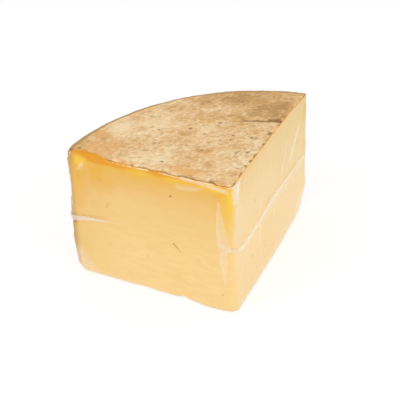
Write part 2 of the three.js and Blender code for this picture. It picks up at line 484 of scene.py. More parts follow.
class SkinPlaces:
    """Where each vertex of a piece lies on the wedge, as arrays in metres."""

    def __init__(self, piece, sizes):
        count = len(piece.data.vertices)
        spots = np.empty(count * 3)
        piece.data.vertices.foreach_get("co", spots)
        spots = spots.reshape(-1, 3)
        normals = np.empty(count * 3)
        piece.data.vertex_normals.foreach_get("vector", normals)
        self.normals = normals.reshape(-1, 3)
        plan = spots[:, :2] - np.array(wedge_point(sizes))
        from_axis = spots[:, :2] - np.array(wheel_axis(sizes))
        self.left = plan @ np.array(ALONG_LEFT)
        self.right = plan @ np.array(ALONG_RIGHT)
        self.height = spots[:, 2]
        self.radius = np.hypot(from_axis[:, 0], from_axis[:, 1])
        self.turn = np.arctan2(from_axis[:, 0], from_axis[:, 1])

    def along(self, along):
        """Distance from the point along a cut face."""
        return self.left if along is ALONG_LEFT else self.right

    def facing(self, along):
        """How squarely each vertex faces out of a cut face, from 0 to 1."""
        out = np.array((*face_out(along), 0.0))
        return ease(self.normals @ out, *FACING)

    def facing_up(self):
        """How squarely each vertex faces up, from 0 to 1."""
        return ease(self.normals[:, 2], *FACING)

    def facing_back(self):
        """How squarely each vertex faces out of the curved side, from 0 to 1."""
        out = np.stack([np.sin(self.turn), np.cos(self.turn)], axis=1)
        outer = self.radius > SIDE_SHARE * self.radius.max()
        return ease((self.normals[:, :2] * out).sum(axis=1), *FACING_BACK) * outer


# Modelling by operators


def activate(piece):
    """Makes a piece the only selected and the active object."""
    bpy.ops.object.select_all(action="DESELECT")
    piece.select_set(True)
    bpy.context.view_layer.objects.active = piece


def clear_selection(piece, kind):
    """Deselects all of a piece's mesh, with edges or faces as what is to be selected."""
    activate(piece)
    bpy.ops.object.mode_set(mode="EDIT")
    bpy.ops.mesh.select_mode(type=kind)
    bpy.ops.mesh.select_all(action="DESELECT")
    bpy.ops.object.mode_set(mode="OBJECT")


def select_whole(piece):
    """Goes into edit mode with all of a piece's mesh selected."""
    activate(piece)
    bpy.ops.object.mode_set(mode="EDIT")
    bpy.ops.mesh.select_all(action="SELECT")


def select_edges(piece, test):
    """Goes into edit mode with just those edges selected whose ends both pass a test."""
    clear_selection(piece, "EDGE")
    spots = piece.data.vertices
    for edge in piece.data.edges:
        edge.select = all(test(spots[index].co) for index in edge.vertices)
    bpy.ops.object.mode_set(mode="EDIT")


def round_edges(piece, test, offset):
    """Bevels the edges whose ends pass a test."""
    select_edges(piece, test)
    bpy.ops.mesh.bevel(offset=offset, offset_type="OFFSET", segments=ROUND_STEPS, affect="EDGES")
    bpy.ops.object.mode_set(mode="OBJECT")


def apply_modifier(piece, kind, **settings):
    """Adds a modifier to a piece and applies it."""
    activate(piece)
    modifier = piece.modifiers.new(kind.title(), kind)
    for name, setting in settings.items():
        setattr(modifier, name, setting)
    bpy.ops.object.modifier_apply(modifier=modifier.name)


def clouds(name, size, depth):
    """A soft lumpy texture for relief, by the size of its lumps."""
    texture = bpy.data.textures.new(name, "CLOUDS")
    texture.noise_scale = size
    texture.noise_depth = depth
    return texture


def stroke(piece, name, weights, strength, texture=None, direction="NORMAL"):
    """Moves a piece's skin along its normals, or one axis, by a strength where weights say."""
    group = piece.vertex_groups.new(name=name)
    for index in np.flatnonzero(weights > LEAST_WEIGHT):
        group.add([int(index)], float(weights[index]), "REPLACE")
    settings = {"vertex_group": name, "strength": strength, "mid_level": 0.0, "direction": direction}
    if texture:
        settings.update(texture=texture, texture_coords="LOCAL", mid_level=0.65)
    apply_modifier(piece, "DISPLACE", **settings)
    piece.vertex_groups.remove(piece.vertex_groups[name])


def press(piece, name, offsets):
    """Moves each vertex along its normal by its own offset, outwards and then inwards."""
    for sign in (1, -1):
        part = np.clip(sign * offsets, 0, None)
        if part.max() > TINY:
            stroke(piece, name, part / part.max(), sign * part.max())


def roughen(piece, weights, relief):
    """Works uneven relief into a piece's skin where weights say."""
    for name, (strength, size, depth) in relief.items():
        stroke(piece, name, weights, strength * MM, clouds(name, size * MM, depth))


def write_attribute(piece, name, values):
    """Keeps a number for each vertex of a piece."""
    attribute = piece.data.attributes.new(name, "FLOAT", "POINT")
    attribute.data.foreach_set("value", np.asarray(values, dtype=np.float32))


def wedge_block(name, sizes, skin_size):
    """Cuts the wedge out of a whole wheel, a film's gap inside the frame, with an even skin."""
    axis = wheel_axis(sizes)
    point = wedge_point(sizes)
    gap = sizes.film_gap
    low = CAD_LOW.z + gap
    height = sizes.wheel_height - 2 * gap
    radius = sizes.wheel_radius - gap
    bpy.ops.object.select_all(action="DESELECT")
    bpy.ops.mesh.primitive_cylinder_add(
        vertices=WHEEL_SIDES, radius=radius, depth=height, location=(axis.x, axis.y, low + height / 2))
    block = bpy.context.object
    block.name = block.data.name = name
    bpy.ops.object.transform_apply(location=True, rotation=False, scale=False)

    select_edges(block, lambda spot: spot.z < low + TINY)
    spread = (radius + sizes.foot_spread) / radius
    bpy.ops.transform.resize(value=(spread, spread, 1), center_override=(axis.x, axis.y, low))
    bpy.ops.object.mode_set(mode="OBJECT")
    round_edges(block, lambda spot: spot.z < low + TINY, sizes.foot_rim_round)
    round_edges(block, lambda spot: spot.z > low + height - TINY, sizes.top_rim_round)

    for along in (ALONG_LEFT, ALONG_RIGHT):
        out = face_out(along)
        place = point - out * gap
        select_whole(block)
        bpy.ops.mesh.bisect(
            plane_co=(place.x, place.y, 0), plane_no=(out.x, out.y, 0), use_fill=True, clear_outer=True)
        bpy.ops.object.mode_set(mode="OBJECT")
    edge_y = min(vertex.co.y for vertex in block.data.vertices)
    round_edges(block, lambda spot: spot.y < edge_y + TINY, sizes.point_round)

    select_whole(block)
    bpy.ops.transform.resize(value=(sizes.width_stretch, 1, 1), center_override=(point.x, point.y, 0))
    bpy.ops.object.mode_set(mode="OBJECT")
    apply_modifier(block, "REMESH", mode="VOXEL", voxel_size=skin_size)
    apply_modifier(block, "SMOOTH", factor=0.5, iterations=4)
    return block


def body_offsets(places, sizes, hollow):
    """How far the wedge stands off its plain block: a hollow right face, a flared foot, a soft left end."""
    left = places.facing(ALONG_LEFT)
    right = places.facing(ALONG_RIGHT)
    share = np.clip(places.right / face_reach(sizes, ALONG_RIGHT), 0, 1)
    upper = 0.15 + 0.85 * ease(places.height, 10 * MM, 80 * MM)
    near = ease(places.right, 140 * MM, 70 * MM)
    bulge = 1.0 + 1.5 * hump(places.left, 20 * MM, 22 * MM)
    flare = hump(places.height, 0, 45 * MM) * (bulge * left + 1.8 * near * right)
    from_side = side_radius(sizes, places.height) - places.radius
    left_end = hump(from_side, 0, 9 * MM) * hump(places.right, 0, 9 * MM)
    return MM * (flare - 1.4 * left_end) - hollow * 4 * share * (1 - share) * upper * right


def draw_ends(piece, sizes, reach):
    """Draws the lower half of the wedge's left end out to the left, and the foot of its right end in."""
    places = SkinPlaces(piece, sizes)
    from_side = side_radius(sizes, places.height) - places.radius
    left_end = hump(from_side, 2 * MM, 16 * MM) * hump(places.right, 0, 26 * MM)
    stroke(piece, "left end", left_end * hump(places.height, 46 * MM, 48 * MM), -reach, direction="X")
    right_end = hump(from_side, 0, 30 * MM) * hump(places.left, 0, 30 * MM)
    right_foot = right_end * hump(places.height, 2 * MM, 26 * MM)
    if right_foot.max() > LEAST_WEIGHT:
        stroke(piece, "right foot", right_foot, -RIGHT_FOOT_DRAW, direction="X")


def refine_skin(piece, places, gaps, reach, cuts):
    """Splits a skin into finer faces within a reach of marks, each a cut face and the gaps from the mark."""
    near = np.zeros(len(places.height), dtype=bool)
    for along, gap in gaps:
        near |= (gap < reach) & (places.facing(along) > 0.5)
    clear_selection(piece, "FACE")
    for face in piece.data.polygons:
        face.select = all(near[index] for index in face.vertices)
    bpy.ops.object.mode_set(mode="EDIT")
    bpy.ops.mesh.subdivide(number_cuts=cuts)
    bpy.ops.object.mode_set(mode="OBJECT")


def notch_foot(piece, sizes):
    """Lifts the foot of the left face where it is uneven."""
    places = SkinPlaces(piece, sizes)
    foot = hump(places.height, 0, 9 * MM) * hump(places.right, 0, 12 * MM)
    lift = hump(places.left, 47 * MM, 7 * MM) + 0.5 * hump(places.left, 84 * MM, 14 * MM)
    stroke(piece, "notch", foot * lift, NOTCH_LIFT, direction="Z")


def keep_piece(piece, material):
    """Gives a finished piece its material and its place in the frame."""
    activate(piece)
    bpy.ops.object.shade_smooth()
    piece.data.materials.clear()
    piece.data.materials.append(material)
    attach(piece, BODY)
    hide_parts(NODE)


# Shader building


class Desk:
    """Adds nodes to a shader tree and joins them."""

    def __init__(self, tree):
        self.tree = tree

    def add(self, kind, values=None, **settings):
        """Adds a node, with settings, and values or joined sockets for its inputs."""
        node = self.tree.nodes.new(kind)
        for name, setting in settings.items():
            setattr(node, name, setting)
        for key, value in (values or {}).items():
            self.feed(node.inputs[key], value)
        return node

    def feed(self, socket, value):
        """Joins a socket to an input, or sets the input's own value."""
        if isinstance(value, bpy.types.NodeSocket):
            self.tree.links.new(value, socket)
        elif hasattr(value, "__len__") and len(value) == 3 and socket.type == "RGBA":
            socket.default_value = (*value, 1.0)
        else:
            socket.default_value = value

    def math(self, operation, first, second=0.0):
        """One calculation with two numbers."""
        return self.add("ShaderNodeMath", {0: first, 1: second}, operation=operation).outputs[0]

    def total(self, *terms):
        """The sum of values, each alone or in a pair with a number that it is multiplied by."""
        result = 0.0
        for term in terms:
            value, factor = term if isinstance(term, tuple) else (term, 1.0)
            values = {0: value, 1: factor, 2: result}
            result = self.add("ShaderNodeMath", values, operation="MULTIPLY_ADD").outputs[0]
        return result

    def product(self, *values):
        """The product of values."""
        result = values[0]
        for value in values[1:]:
            result = self.math("MULTIPLY", result, value)
        return result

    def hypot(self, first, second):
        """The long side of a right-angled triangle with two short sides."""
        return self.math("SQRT", self.total(self.product(first, first), self.product(second, second)))

    def step(self, value, low, high):
        """A smooth step from 0 at low to 1 at high."""
        values = {"Value": value, "From Min": low, "From Max": high}
        return self.add("ShaderNodeMapRange", values, interpolation_type="SMOOTHSTEP").outputs[0]

    def noise(self, vector, size, detail=3.0, roughness=0.55):
        """Noise from 0 to 1 with lumps of a size."""
        values = {"Vector": vector, "Scale": 1 / size, "Detail": detail, "Roughness": roughness}
        return self.add("ShaderNodeTexNoise", values).outputs["Fac"]

    def sway(self, vector, size, reach):
        """Noise from minus to plus half a reach."""
        return self.total((self.noise(vector, size), reach), (0.5, -reach))

    def blend(self, factor, first, second):
        """One colour laid over another by a factor."""
        values = {0: factor, 6: first, 7: second}
        return self.add("ShaderNodeMix", values, data_type="RGBA").outputs[2]

    def ramp(self, factor, stops):
        """Colours along a factor, as pairs of a place from 0 to 1 and a colour."""
        node = self.add("ShaderNodeValToRGB", {0: factor})
        elements = node.color_ramp.elements
        elements[0].position, elements[1].position = stops[0][0], stops[-1][0]
        elements[0].color, elements[1].color = (*stops[0][1], 1.0), (*stops[-1][1], 1.0)
        for place, colour in stops[1:-1]:
            elements.new(place).color = (*colour, 1.0)
        return node.outputs[0]

    def group(self, tree, **values):
        """Puts a node group in the tree and gives its first output."""
        node = self.add("ShaderNodeGroup", node_tree=tree)
        for key, value in values.items():
            self.feed(node.inputs[key.title()], value)
        return node.outputs[0]

    def attribute(self, name):
        """A number kept for each vertex."""
        return self.add("ShaderNodeAttribute", attribute_name=name).outputs["Fac"]

    def stretched(self, vector, scale):
        """A vector scaled along each axis: a small scale draws a pattern out."""
        return self.add("ShaderNodeMapping", {"Vector": vector, "Scale": scale}).outputs[0]

    def shifted(self, vector, location, turn=0.0):
        """A vector turned about the upright, then moved."""
        values = {"Vector": vector, "Location": location, "Rotation": (0, 0, turn)}
        return self.add("ShaderNodeMapping", values).outputs[0]


def blotch_group():
    """Node group: noise of a size, cut off softly between two levels."""
    tree = bpy.data.node_groups.get("Blotches")
    if tree:
        return tree
    tree = bpy.data.node_groups.new("Blotches", "ShaderNodeTree")
    tree.interface.new_socket("Vector", in_out="INPUT", socket_type="NodeSocketVector")
    for label in ("Size", "Detail", "Low", "High"):
        tree.interface.new_socket(label, in_out="INPUT", socket_type="NodeSocketFloat")
    tree.interface.new_socket("Mask", in_out="OUTPUT", socket_type="NodeSocketFloat")
    desk = Desk(tree)
    given = desk.add("NodeGroupInput").outputs
    put = desk.add("NodeGroupOutput").inputs
    scale = desk.math("DIVIDE", 1.0, given["Size"])
    values = {"Vector": given["Vector"], "Scale": scale, "Detail": given["Detail"], "Roughness": 0.6}
    noise = desk.add("ShaderNodeTexNoise", values).outputs["Fac"]
    desk.feed(put["Mask"], desk.step(noise, given["Low"], given["High"]))
    return tree


def blotches(desk, vector, size, detail, low, high):
    """Soft blotches of a size, from the shared node group."""
    return desk.group(blotch_group(), vector=vector, size=size, detail=detail, low=low, high=high)


def new_material(name):
    """An empty node material, with its desk and its output's surface."""
    material = bpy.data.materials.new(name)
    material.use_nodes = True
    material.node_tree.nodes.clear()
    desk = Desk(material.node_tree)
    return material, desk, desk.add("ShaderNodeOutputMaterial").inputs["Surface"]


def wheel_places(desk, sizes):
    """Sockets that say where a shaded place lies on the wheel and the cut faces."""
    spot = desk.add("ShaderNodeTexCoord").outputs["Object"]
    axis = wheel_axis(sizes)
    wheel = desk.add("ShaderNodeSeparateXYZ", {0: desk.shifted(spot, (-axis.x, -axis.y, 0))}).outputs
    turned = Matrix.Rotation(math.pi / 4, 2) @ wedge_point(sizes)
    faces = desk.shifted(spot, (-turned.x, -turned.y, 0), math.pi / 4)
    cut = desk.add("ShaderNodeSeparateXYZ", {0: faces}).outputs
    radius = desk.hypot(wheel["X"], wheel["Y"])
    slope = sizes.foot_spread / sizes.wheel_height
    foot_radius = sizes.wheel_radius + sizes.foot_spread
    return SimpleNamespace(
        spot=spot,
        left=desk.product(cut["X"], -1.0),
        right=cut["Y"],
        on_left=desk.step(cut["Y"], *LEFT_FACE_DEPTH),
        height=wheel["Z"],
        radius=radius,
        under_top=desk.math("SUBTRACT", sizes.wheel_height, wheel["Z"]),
        under_side=desk.total((wheel["Z"], -slope), (radius, -1.0), foot_radius),
        turn=desk.math("ARCTAN2", wheel["X"], wheel["Y"]))


# Cheese


def paste_colour(desk, places, colours):
    """Pale paste that deepens to orange under the rind, farther in on the left face; with painted light at
    the near edge and under the rind's lip, and painted shade over the right face, along the left face's foot
    and in the pits and slits.
    """
    spot = places.spot
    on_left = places.on_left
    on_right = desk.math("SUBTRACT", 1.0, on_left)
    from_side = desk.total((places.under_side, 0.9), (places.under_top, 0.4), (on_right, 12 * MM))
    depth = desk.math("MINIMUM", places.under_top, from_side)
    reach = desk.total((on_left, 0.65), 0.35)
    patchy = desk.total((desk.noise(spot, 6 * MM), 0.8), 0.6)
    gold = desk.product(desk.attribute("gold"), patchy)
    uneven = desk.total(desk.math("DIVIDE", depth, reach), desk.sway(spot, 20 * MM, 14 * MM),
                        desk.sway(spot, 7 * MM, 9 * MM), (gold, -16 * MM))
    share = desk.math("DIVIDE", uneven, 90 * MM)
    colour = desk.ramp(share, (
        (0.0, colours.paste_orange), (0.06, colours.paste_gold), (0.22, colours.paste_amber),
        (0.37, colours.paste_warm), (1.0, colours.paste)))
    # Painted light at the near edge and under the rind's lip, and a vivid yellow patch at the left end.
    lit_and_yellow = desk.product(desk.attribute("lit_and_yellow"), patchy)
    colour = desk.blend(lit_and_yellow, colour, colours.paste_lit_and_yellow)
    # Painted shade: the right face is drawn darker toward its top and its far end.
    far = desk.step(places.right, 30 * MM, 150 * MM)
    upper = desk.product(desk.step(places.under_top, 95 * MM, 0.0), desk.total((far, 0.55), 0.4))
    right_shade = desk.total((upper, 0.85), 0.15)
    below_rim = desk.step(places.under_top, 3.5 * MM, 7 * MM)
    colour = desk.blend(desk.product(right_shade, on_right, below_rim), colour, colours.paste_right_shade)
    inner = desk.step(share, 0.06, 0.35)
    cloudy = blotches(desk, spot, 26 * MM, 3.0, low=0.45, high=0.75)
    colour = desk.blend(desk.product(cloudy, inner, 0.15), colour, colours.paste_warm)
    fine = blotches(desk, spot, 3 * MM, 4.0, low=0.3, high=0.7)
    colour = desk.blend(desk.product(fine, inner, 0.1), colour, colours.paste_amber)
    drawn_long = desk.stretched(spot, (0.26, 0.26, 1.0))
    drag = blotches(desk, drawn_long, 4 * MM, 4.0, low=0.4, high=0.66)
    colour = desk.blend(desk.product(drag, on_left, inner, 0.24), colour, colours.paste_amber)
    near_top = desk.step(places.under_top, 24 * MM, 6 * MM)
    strip = desk.total((near_top, 4 * MM), 7 * MM, desk.sway(spot, 5 * MM, 6 * MM))
    turned = desk.product(desk.step(desk.math("DIVIDE", places.under_side, strip), 1.0, 0.1), on_left)
    colour = desk.blend(desk.product(turned, 0.7), colour, colours.rind_brown_and_shadow)
    # Painted shade: a soft contact shadow along the foot of the left face, in the rind's brown.
    foot = desk.product(desk.step(places.height, 2.6 * MM, 0.8 * MM), on_left, 0.5)
    colour = desk.blend(foot, colour, colours.rind_brown_and_shadow)
    # Painted shade inside the pits and slits.
    return desk.blend(desk.attribute("pit"), colour, colours.paste_pit_shade)


def stain(desk, name, spot, size):
    """A painted spot of the rind with a broken edge."""
    paint = desk.attribute(name)
    broken = desk.total(paint, desk.sway(spot, size, 1.8))
    return desk.product(desk.step(broken, 0.2, 0.75), desk.step(paint, 0.0, 0.35))


def rind_colour(desk, places, sizes, colours):
    """Mottled tan cloth rind with rubbed, browned and dark spots and the line of the cloth's overlap, and
    painted shade along the rounded top rim.
    """
    spot = places.spot
    woven = desk.stretched(spot, (0.62, 1.0, 1.0))
    grain = desk.noise(woven, 2.4 * MM, 4.0, 0.7)
    beyond = desk.step(places.radius, sizes.overlap_radius - 4 * MM, sizes.overlap_radius + 4 * MM)
    to_right = desk.step(places.turn, math.radians(-12), math.radians(22))
    below_top = desk.total(places.under_top, desk.sway(woven, 5 * MM, 5 * MM))
    # Painted shade: the rind darkened along the rounded top rim, more on the left than on the right.
    rim = desk.product(desk.step(places.under_side, 6.5 * MM, 2 * MM),
                       desk.step(below_top, 5 * MM, 1.5 * MM))
    rim = desk.product(rim, desk.total((to_right, -0.32), 0.5))
    value = desk.total(
        (desk.noise(spot, 40 * MM, 2.0), 0.4), (desk.noise(woven, 9 * MM, 5.0, 0.7), 0.45), (grain, 0.55),
        (desk.product(beyond, to_right), -0.1), (rim, -1.0), (desk.attribute("browned"), -0.13),
        (desk.attribute("bloom"), 0.09), (0.2, -1.0))
    colour = desk.ramp(value, (
        (0.28, colours.rind_brown_and_shadow), (0.42, colours.rind_tan),
        (0.52, colours.rind), (0.64, colours.rind_pale_and_glint)))
    worn = desk.total((desk.attribute("rubbed"), 0.6), 0.3)
    rubbed = desk.product(stain(desk, "rubbed", spot, 3 * MM), worn)
    colour = desk.blend(rubbed, colour, colours.rind_orange)
    crowd = desk.total(desk.noise(spot, 20 * MM, 2.0), (to_right, 0.12))
    crowd = desk.step(crowd, 0.42, 0.62)
    flecks = blotches(desk, woven, 3.2 * MM, 3.0, low=0.52, high=0.7)
    colour = desk.blend(desk.product(flecks, crowd, 0.6), colour, colours.rind_fleck)
    folds = desk.math("ABSOLUTE", desk.sway(woven, 7 * MM, 1.0))
    folds = desk.product(desk.step(folds, 0.03, 0.005), crowd, flecks, 0.6)
    smudges = blotches(desk, woven, 6 * MM, 5.0, low=0.52, high=0.66)
    colour = desk.blend(desk.product(smudges, crowd, 0.35), colour, colours.rind_brown_and_shadow)
    colour = desk.blend(desk.product(folds, 0.5), colour, colours.rind_dark)
    specks = stain(desk, "specks", spot, 1.6 * MM)
    off_line = desk.total(places.radius, desk.sway(spot, 9 * MM, 3 * MM),
                          (sizes.overlap_radius, -1.0))
    line = desk.step(desk.math("ABSOLUTE", off_line), 1.5 * MM, 0.3 * MM)
    line = desk.product(line, desk.step(places.turn, math.radians(10), math.radians(28)), 0.75)
    dark = desk.math("MAXIMUM", desk.product(specks, 0.75), line)
    return desk.blend(dark, colour, colours.rind_dark), grain


def rind_cover(desk, places, sizes):
    """1 on the rind and 0 on the paste, with a ragged edge; then that edge's dark line, and the pale line
    just below it on the left face, a painted highlight of the film.
    """
    spot = places.spot
    corner = sizes.foot_rim_round
    to_side = desk.math("MAXIMUM", desk.math("SUBTRACT", corner, places.under_side), 0.0)
    to_foot = desk.math("MAXIMUM", desk.math("SUBTRACT", corner - 1.2 * MM, places.height), 0.0)
    off_round = desk.hypot(to_side, to_foot)
    depth = desk.math("MINIMUM", places.under_top, desk.math("SUBTRACT", corner, off_round))
    ragged = desk.total(desk.sway(spot, 6 * MM, 2.2 * MM), desk.sway(spot, 2 * MM, 1.0 * MM))
    edge = sizes.rind_thickness + sizes.film_gap
    uneven = desk.total(depth, ragged)
    cover = desk.step(uneven, edge + 0.25 * MM, edge - 0.25 * MM)
    near_top = desk.step(places.height, 96 * MM, 114 * MM)
    drawn = desk.product(desk.step(places.left, 100 * MM, 132 * MM),
                         desk.step(places.left, 146 * MM, 136 * MM), near_top, 4.5 * MM)
    wavy = desk.sway(spot, 16 * MM, 3 * MM)
    in_left = desk.total(places.right, (ragged, 1.5), wavy, (drawn, -1.0))
    on_top = desk.step(places.under_top, 7 * MM, 4 * MM)
    lower = desk.step(places.height, 50 * MM, 20 * MM)
    in_right = desk.total(places.left, ragged, (lower, -2.5 * MM))
    in_right = desk.step(in_right, 1.5 * MM, 2.5 * MM)
    kept = desk.product(desk.step(in_left, -0.3 * MM, 0.4 * MM), desk.math("MAXIMUM", in_right, on_top))
    line = desk.step(desk.math("ABSOLUTE", desk.math("SUBTRACT", uneven, edge)), 0.75 * MM, 0.15 * MM)
    patchy = blotches(desk, spot, 12 * MM, 2.0, low=0.3, high=0.55)
    # The pale line just below the rind's edge on the left face is a painted highlight of the film.
    off_lip = desk.math("ABSOLUTE", desk.math("SUBTRACT", uneven, edge + 1.2 * MM))
    lip = desk.step(off_lip, 1.0 * MM, 0.3 * MM)
    broken = blotches(desk, spot, 9 * MM, 3.0, low=0.36, high=0.54)
    return (desk.product(cover, kept), desk.product(line, kept, patchy, on_top),
            desk.product(lip, kept, broken, on_top, places.on_left))


def cheese_material(sizes, colours):
    """Paste and rind in one material, so that the rind's edge can be ragged."""
    material, desk, surface = new_material("cloth_rind_cheddar")
    places = wheel_places(desk, sizes)
    rind, grain = rind_colour(desk, places, sizes, colours)
    cover, line, lip = rind_cover(desk, places, sizes)
    colour = desk.blend(cover, paste_colour(desk, places, colours), rind)
    # Painted highlight: the film's glint below the rind's edge on the left face, in the pale rind colour.
    colour = desk.blend(desk.product(lip, 0.8), colour, colours.rind_pale_and_glint)
    colour = desk.blend(desk.product(line, 0.75), colour, colours.rind_dark)
    weave = desk.noise(places.spot, 1.1 * MM, 2.0)
    rough_skin = desk.product(cover, desk.total((grain, 1.2), (weave, 0.8)))
    height = desk.total(rough_skin, (desk.noise(places.spot, 5 * MM), 0.3))
    relief = desk.add("ShaderNodeBump", {"Strength": 0.4, "Distance": 0.5 * MM, "Height": height})
    shader = desk.add("ShaderNodeBsdfPrincipled", {
        "Base Color": colour, "Roughness": desk.total((cover, 0.4), 0.42), "Normal": relief.outputs[0],
        "Specular IOR Level": 0.12, "Subsurface Weight": 0.1,
        "Subsurface Radius": (1.0, 0.5, 0.2), "Subsurface Scale": 4 * MM})
    desk.feed(surface, shader.outputs[0])
    return material


def mark_gaps(places):
    """For each pit and slit: its cut face, distance from it over its size, depth and tint, the shade painted
    inside it.
    """
    for along, distance, height, radius, depth, tint in PASTE_PITS:
        gap = np.hypot(places.along(along) - distance * MM, places.height - height * MM)
        yield along, gap / (radius * MM), depth * MM, tint
    for along, first, last, half_width, depth, tint in PASTE_SLITS:
        gap = line_gap(places.along(along), places.height, first, last)
        yield along, gap / (half_width * MM), depth * MM, tint


def refine_marks(piece, sizes):
    """Splits the skin round the pits and slits into finer faces."""
    places = SkinPlaces(piece, sizes)
    gaps = ((along, gap) for along, gap, _, _ in mark_gaps(places))
    refine_skin(piece, places, gaps, *MARK_FINENESS)


def press_marks(piece, sizes):
    """Presses the pits and slits into the paste, and keeps where they are, with the shade painted inside
    them, for its colour.
    """
    places = SkinPlaces(piece, sizes)
    pressed = np.zeros(len(places.height))
    pit_shades = np.zeros(len(places.height))
    for along, gap, depth, tint in mark_gaps(places):
        shape = hump(gap, 0.0, 1.0) * places.facing(along)
        pressed = np.maximum(pressed, shape * depth)
        pit_shades = np.maximum(pit_shades, shape * tint)
    press(piece, "marks", -pressed)
    write_attribute(piece, "pit", pit_shades)


def shape_cheese(piece, sizes):
    """Works the shape and the relief of the rind and the paste into the skin."""
    places = SkinPlaces(piece, sizes)
    top = places.facing_up()
    left = places.facing(ALONG_LEFT)
    right = places.facing(ALONG_RIGHT)
    to_right = ease(places.turn, math.radians(-5), math.radians(30))
    line = hump(places.radius, sizes.overlap_radius, 2.2 * MM) * top * (0.25 + 0.75 * to_right)
    lap = ease(places.radius, sizes.overlap_radius, sizes.overlap_radius + 4 * MM) * top
    pit = painted(places.left, places.right, RIND_SPECKS) * top
    under_lip = hump(places.height, sizes.wheel_height - 6 * MM, 5 * MM) * left
    relief = 0.3 * lap - 0.9 * line - 0.5 * pit - 0.7 * under_lip
    press(piece, "shape", MM * relief + body_offsets(places, sizes, sizes.right_hollow))
    draw_ends(piece, sizes, CHEESE_DRAW)
    roughen(piece, np.maximum(top, places.facing_back()), RIND_RELIEF)
    roughen(piece, np.maximum(left, right), PASTE_RELIEF)
    rim = ease(places.height, sizes.wheel_height - 4 * MM, sizes.wheel_height - 1.5 * MM)
    roughen(piece, rim * hump(places.right, 0, 4 * MM), LIP_RELIEF)


def paint_cheese(piece, sizes):
    """Keeps where the paste is golden, where it carries painted light or a vivid yellow patch, and where the
    rind is rubbed, pale, browned or specked.
    """
    places = SkinPlaces(piece, sizes)
    left = hump(places.right, 0, 12 * MM)
    for name, rows in (("gold", PASTE_GOLD), ("lit_and_yellow", PASTE_LIT_AND_YELLOW)):
        write_attribute(piece, name, painted(places.left, places.height, rows) * left)
    top = ease(places.height, sizes.wheel_height - 8 * MM, sizes.wheel_height - 4 * MM)
    spots = {"rubbed": RIND_RUBBED, "bloom": RIND_BLOOM, "browned": RIND_BROWNED, "specks": RIND_SPECKS}
    for name, rows in spots.items():
        write_attribute(piece, name, painted(places.left, places.right, rows) * top)


class CHEDDAR_OT_cheese(bpy.types.Operator):
    """Models the cheese, paste and rind, as one piece"""

    bl_idname = "cheddar.cheese"
    bl_label = "Cheese"

    def execute(self, context):
        sizes = context.scene.cheddar_sizes
        cheese = wedge_block("cheddar", sizes, sizes.skin_size)
        shape_cheese(cheese, sizes)
        notch_foot(cheese, sizes)
        refine_marks(cheese, sizes)
        press_marks(cheese, sizes)
        paint_cheese(cheese, sizes)
        keep_piece(cheese, cheese_material(sizes, context.scene.cheddar_colours))
        return {"FINISHED"}


# Film


def film_material(colours):
    """Clear glossy film that turns milky where it is welded or creased, and whitish where its highlights are
    painted in as milk.
    """
    material = bpy.data.materials.get("clear_film")
    if material:
        return material
    material, desk, surface = new_material("clear_film")
    spot = desk.add("ShaderNodeTexCoord").outputs["Object"]
    outside = desk.math("SUBTRACT", 1.0, desk.add("ShaderNodeNewGeometry").outputs["Backfacing"])
    uneven = blotches(desk, spot, 7 * MM, 3.0, low=0.25, high=0.75)
    upright = desk.stretched(spot, (1.0, 1.0, 0.12))
    streaks = blotches(desk, upright, 11 * MM, 2.0, low=0.42, high=0.74)
    streaks = desk.product(streaks, desk.attribute("streaky"))
    milk = desk.total((desk.attribute("milk"), desk.total((uneven, 0.5), 0.75)), (streaks, 0.06))
    milk = desk.product(milk, outside)
    ripple = desk.add("ShaderNodeBump", {
        "Strength": 0.25, "Distance": 0.4 * MM, "Height": desk.noise(spot, 9 * MM, 2.0)})
    normal = ripple.outputs[0]
    slanting = desk.add("ShaderNodeLayerWeight", {"Blend": 0.5}).outputs["Facing"]
    tint = desk.blend(desk.step(slanting, 0.82, 1.0), (1.0, 1.0, 1.0), colours.film_edge)
    clear = desk.add("ShaderNodeBsdfTransparent", {"Color": tint})
    gloss = desk.add("ShaderNodeBsdfGlossy", {"Color": (1.0, 1.0, 1.0), "Roughness": 0.14, "Normal": normal})
    fresnel = desk.add("ShaderNodeFresnel", {"IOR": 1.3, "Normal": normal}).outputs[0]
    shine = desk.product(fresnel, outside)
    film = desk.add("ShaderNodeMixShader", {0: shine, 1: clear.outputs[0], 2: gloss.outputs[0]})
    white = desk.add("ShaderNodeBsdfPrincipled", {
        "Base Color": colours.film_milk_and_glint, "Roughness": 0.35, "Normal": normal, "Specular IOR Level": 0.3})
    mixed = desk.add("ShaderNodeMixShader", {0: milk, 1: film.outputs[0], 2: white.outputs[0]})
    desk.feed(surface, mixed.outputs[0])
    return material


def film_rise(along, distance, height):
    """How far the film stands off the cheese at the pocket, the weld and the flap, in metres."""
    if along is ALONG_LEFT:
        return 1.3 * MM * hump(height, 66 * MM, 44 * MM) * hump(distance, 7 * MM, 9 * MM)
    ridge = RIDGE_RISE * hump(height, RIDGE_HEIGHT, RIDGE_REACH)
    return ridge + 0.8 * MM * hump(distance, 6 * MM, 9 * MM) * ease(height, 70 * MM, 104 * MM)


def crease_shapes(places):
    """For each crease: its cut face, distance from it in half widths, half width, milkiness and fade."""
    for along, stations, half_width, milk in CREASES:
        across = places.along(along)
        gap = np.full(len(across), np.inf)
        for first, last in zip(stations, stations[1:]):
            gap = np.minimum(gap, line_gap(across, places.height, first, last))
        ends = (stations[0], stations[-1])
        from_ends = [np.hypot(across - end[0] * MM, places.height - end[1] * MM) for end in ends]
        fade = ease(np.minimum(*from_ends), 0, CREASE_FADE)
        yield along, gap / (half_width * MM), half_width * MM, milk, fade


def refine_creases(piece, sizes):
    """Splits the film round its narrow creases into finer faces."""
    places = SkinPlaces(piece, sizes)
    narrow = 2 * sizes.film_skin_size
    gaps = ((along, gap) for along, gap, half_width, _, _ in crease_shapes(places) if half_width < narrow)
    refine_skin(piece, places, gaps, *CREASE_FINENESS)


